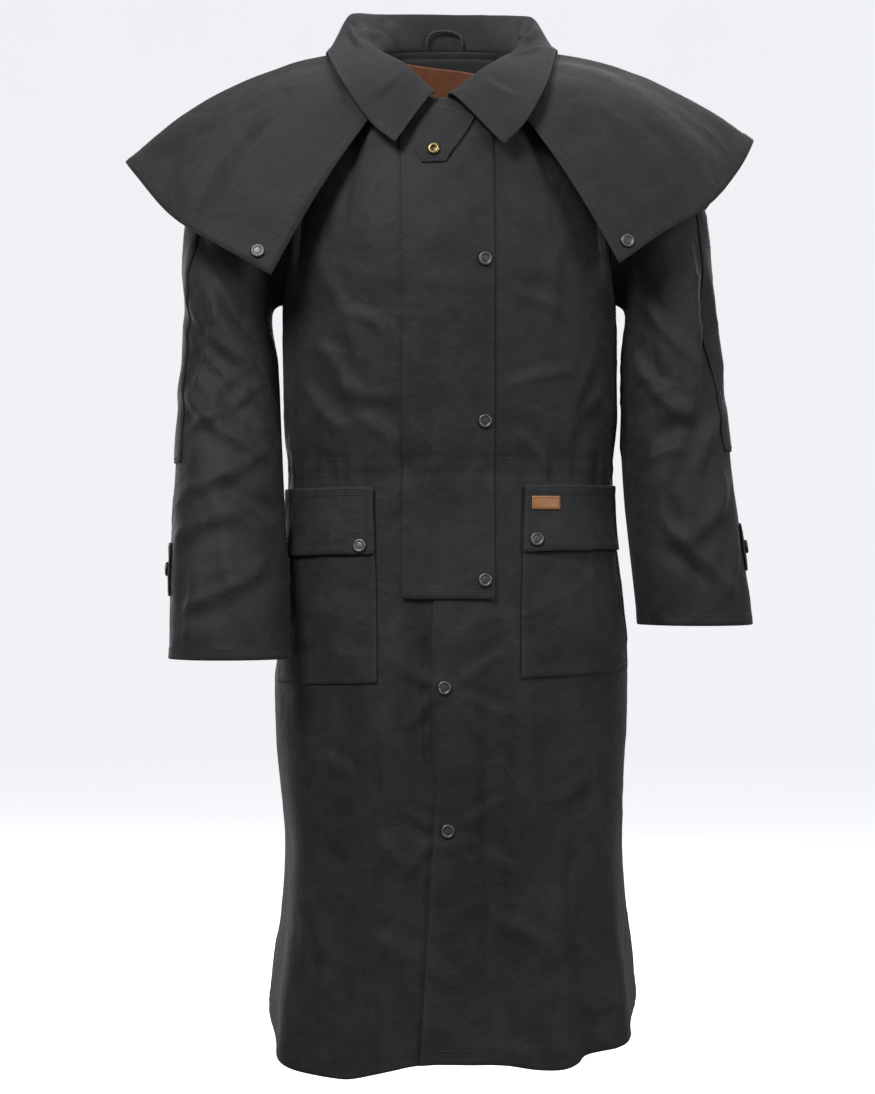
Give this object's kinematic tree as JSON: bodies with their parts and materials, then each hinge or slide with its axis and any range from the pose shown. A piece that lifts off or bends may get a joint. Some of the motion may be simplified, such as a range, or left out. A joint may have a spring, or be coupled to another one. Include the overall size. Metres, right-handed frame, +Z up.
{
  "type": "duster coat",
  "caption": "Long waxed-cotton duster coat, filled out and hollow, with shoulder cape, turn-down collar, snapped storm flap, flapped patch pockets, elbow patches and cuff tabs",
  "frame": {"origin": "between the shoulders, at the height of the points where the shoulder seams meet the collar", "axes": "+Z up along the coat, -Y out of its front, +X to the viewer's right"},
  "size_m": [0.821, 0.4052, 1.3651],
  "materials": {
    "waxed_cotton": "black waxed cotton with a soft uneven sheen",
    "collar_cotton": "charcoal brushed cotton",
    "lining": "plain black cotton",
    "label_leather": "red-brown leather",
    "tag_leather": "tan leather",
    "brass": "dull brass",
    "snap_metal": "dark antique metal"
  },
  "bodies": {
    "root": {"front_left": "waxed_cotton", "front_right": "waxed_cotton", "back": "waxed_cotton", "sleeve_left": "waxed_cotton", "sleeve_right": "waxed_cotton", "elbow_patch_left": "waxed_cotton", "elbow_patch_right": "waxed_cotton", "cuff_tab_left": "waxed_cotton", "cuff_tab_right": "waxed_cotton", "cape": "waxed_cotton", "storm_flap": "waxed_cotton", "pocket_left": "waxed_cotton", "pocket_right": "waxed_cotton", "pocket_flap_left": "waxed_cotton", "pocket_flap_right": "waxed_cotton", "throat_tab": "waxed_cotton", "collar": "collar_cotton", "neck_lining": "lining", "hanger_loop": "lining", "neck_label": "label_leather", "pocket_label": "tag_leather", "ring_throat_tab": "brass", "snap_storm_flap_1": "snap_metal", "snap_storm_flap_2": "snap_metal", "snap_storm_flap_3": "snap_metal", "snap_front_1": "snap_metal", "snap_front_2": "snap_metal", "snap_pocket_flap_left": "snap_metal", "snap_pocket_flap_right": "snap_metal", "snap_cuff_left": "snap_metal", "snap_cuff_right": "snap_metal", "snap_cape_left": "snap_metal", "snap_cape_right": "snap_metal"}
  },
  "joints": []
}
